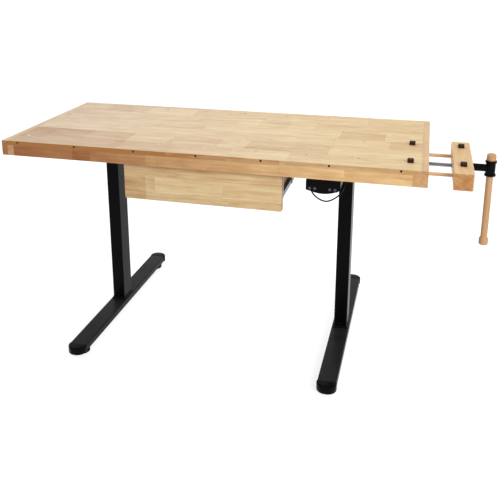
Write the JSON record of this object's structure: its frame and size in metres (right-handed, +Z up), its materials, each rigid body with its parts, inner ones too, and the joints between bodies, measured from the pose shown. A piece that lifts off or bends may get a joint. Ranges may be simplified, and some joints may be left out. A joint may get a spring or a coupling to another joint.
{
  "type": "workbench",
  "caption": "Joiner's workbench: thick laminated wood top with dog holes and an end vise, on a height-adjustable frame with two lifting columns, a hung drawer and a handset.",
  "frame": {"origin": "on the floor, under the middle of the bench's whole length with the vise open as shown, midway between the ends of its feet", "axes": "+X along the top towards the vise, +Y towards the back edge of the top, +Z up"},
  "size_m": [1.716, 0.878, 0.8155],
  "materials": {
    "pale_beech": "oiled laminated beech",
    "drawer_wood": "clear lacquer over planed board",
    "turned_beech": "turned and oiled",
    "black_powder_coat": "smooth black powder coat",
    "black_plastic": "moulded, lightly textured",
    "button_plastic": "smooth moulded",
    "cable_jacket": "satin",
    "plain_steel": "turned steel",
    "zinc_plate": "zinc plated sheet",
    "bronze": "machined",
    "cast_hub": "cast, machined face"
  },
  "bodies": {
    "base": {"left_foot": "black_powder_coat", "right_foot": "black_powder_coat", "foot_end_caps": "black_plastic", "base_screws": "plain_steel", "left_outer_column": "black_powder_coat", "right_outer_column": "black_powder_coat", "column_bushes": "black_plastic", "nut_tubes": "plain_steel", "spindle_nuts": "bronze", "levelling_inserts": "plain_steel"},
    "lift": {"top_panel": "pale_beech", "front_rail": "pale_beech", "back_rail": "pale_beech", "left_end_cap": "pale_beech", "right_end_cap": "pale_beech", "cross_rails": "pale_beech", "bearers": "pale_beech", "vise_guide_block": "pale_beech", "vise_nut_plate": "plain_steel", "left_inner_column": "black_powder_coat", "right_inner_column": "black_powder_coat", "left_motor_housing": "black_powder_coat", "right_motor_housing": "black_powder_coat", "gearmotors": "plain_steel", "side_brackets": "black_powder_coat", "bracket_screws": "plain_steel", "crossbeam": "black_powder_coat", "control_box": "black_plastic", "cable_gland": "black_plastic", "handset": "black_plastic", "handset_cable": "cable_jacket", "cable_clip": "black_plastic", "drawer_channels": "zinc_plate", "drawer_hangers": "zinc_plate"},
    "left_lift_screw": {"left_spindle": "plain_steel"},
    "right_lift_screw": {"right_spindle": "plain_steel"},
    "drawer": {"drawer_front": "drawer_wood", "drawer_sides": "drawer_wood", "drawer_back": "drawer_wood", "drawer_bottom": "drawer_wood", "drawer_slides": "zinc_plate"},
    "jaw": {"vise_jaw": "pale_beech", "vise_guide_rods": "turned_beech"},
    "clamp_screw": {"vise_screw": "plain_steel", "vise_collar": "plain_steel", "vise_hub": "cast_hub"},
    "handle": {"vise_handle": "turned_beech", "handle_knob": "turned_beech"},
    "bench_dog_front": {"bench_dog_front": "black_plastic"},
    "bench_dog_rear": {"bench_dog_rear": "black_plastic"},
    "jaw_dog_front": {"jaw_dog_front": "black_plastic"},
    "jaw_dog_rear": {"jaw_dog_rear": "black_plastic"},
    "button_up": {"button_up": "button_plastic"},
    "button_down": {"button_down": "button_plastic"},
    "button_memory_one": {"button_memory_one": "button_plastic"},
    "button_memory_two": {"button_memory_two": "button_plastic"},
    "levelling_foot_left_front": {"levelling_foot_left_front": "black_plastic"},
    "levelling_foot_left_back": {"levelling_foot_left_back": "black_plastic"},
    "levelling_foot_right_front": {"levelling_foot_right_front": "black_plastic"},
    "levelling_foot_right_back": {"levelling_foot_right_back": "black_plastic"}
  },
  "joints": [
    {"name": "lift_slide", "type": "slide", "parent": "base", "child": "lift", "axis": [0, 0, 1], "range_m": [0, 0.45]},
    {"name": "left_lift_screw_turn", "type": "hinge", "parent": "lift", "child": "left_lift_screw", "pos_m": [-0.574, 0, 0.3], "axis": [0, 0, 1], "range_deg": [0, 13500.01]},
    {"name": "right_lift_screw_turn", "type": "hinge", "parent": "lift", "child": "right_lift_screw", "pos_m": [0.358, 0, 0.3], "axis": [0, 0, 1], "range_deg": [0, 13500.01]},
    {"name": "drawer_slide", "type": "slide", "parent": "lift", "child": "drawer", "axis": [0, -1, 0], "range_m": [0, 0.19]},
    {"name": "jaw_slide", "type": "slide", "parent": "lift", "child": "jaw", "axis": [1, 0, 0], "range_m": [-0.0755, 0.06]},
    {"name": "clamp_screw_turn", "type": "hinge", "parent": "jaw", "child": "clamp_screw", "pos_m": [0.75, -0.1445, 0.766], "axis": [1, 0, 0], "range_deg": [-6795, 5400]},
    {"name": "handle_slide", "type": "slide", "parent": "clamp_screw", "child": "handle", "axis": [0, 0, 1], "range_m": [0, 0.215]},
    {"name": "bench_dog_front_lift_out", "type": "slide", "parent": "lift", "child": "bench_dog_front", "axis": [0, 0, 1], "range_m": [0, 0.02]},
    {"name": "bench_dog_rear_lift_out", "type": "slide", "parent": "lift", "child": "bench_dog_rear", "axis": [0, 0, 1], "range_m": [0, 0.02]},
    {"name": "jaw_dog_front_lift_out", "type": "slide", "parent": "jaw", "child": "jaw_dog_front", "axis": [0, 0, 1], "range_m": [0, 0.02]},
    {"name": "jaw_dog_rear_lift_out", "type": "slide", "parent": "jaw", "child": "jaw_dog_rear", "axis": [0, 0, 1], "range_m": [0, 0.02]},
    {"name": "button_up_press", "type": "slide", "parent": "lift", "child": "button_up", "axis": [0, 1, 0], "range_m": [0, 0.001], "stiffness_N_per_m": 800, "springref_m": -0.0005},
    {"name": "button_down_press", "type": "slide", "parent": "lift", "child": "button_down", "axis": [0, 1, 0], "range_m": [0, 0.001], "stiffness_N_per_m": 800, "springref_m": -0.0005},
    {"name": "button_memory_one_press", "type": "slide", "parent": "lift", "child": "button_memory_one", "axis": [0, 1, 0], "range_m": [0, 0.001], "stiffness_N_per_m": 800, "springref_m": -0.0005},
    {"name": "button_memory_two_press", "type": "slide", "parent": "lift", "child": "button_memory_two", "axis": [0, 1, 0], "range_m": [0, 0.001], "stiffness_N_per_m": 800, "springref_m": -0.0005},
    {"name": "levelling_foot_left_front_screw_out", "type": "slide", "parent": "base", "child": "levelling_foot_left_front", "axis": [0, 0, -1], "range_m": [0, 0.01]},
    {"name": "levelling_foot_left_back_screw_out", "type": "slide", "parent": "base", "child": "levelling_foot_left_back", "axis": [0, 0, -1], "range_m": [0, 0.01]},
    {"name": "levelling_foot_right_front_screw_out", "type": "slide", "parent": "base", "child": "levelling_foot_right_front", "axis": [0, 0, -1], "range_m": [0, 0.01]},
    {"name": "levelling_foot_right_back_screw_out", "type": "slide", "parent": "base", "child": "levelling_foot_right_back", "axis": [0, 0, -1], "range_m": [0, 0.01]}
  ],
  "couplings": [
    {"joint": "left_lift_screw_turn", "follows": "lift_slide", "rad_per_m": 523.6},
    {"joint": "right_lift_screw_turn", "follows": "lift_slide", "rad_per_m": 523.6},
    {"joint": "jaw_slide", "follows": "clamp_screw_turn", "m_per_rad": 0.00063662}
  ]
}
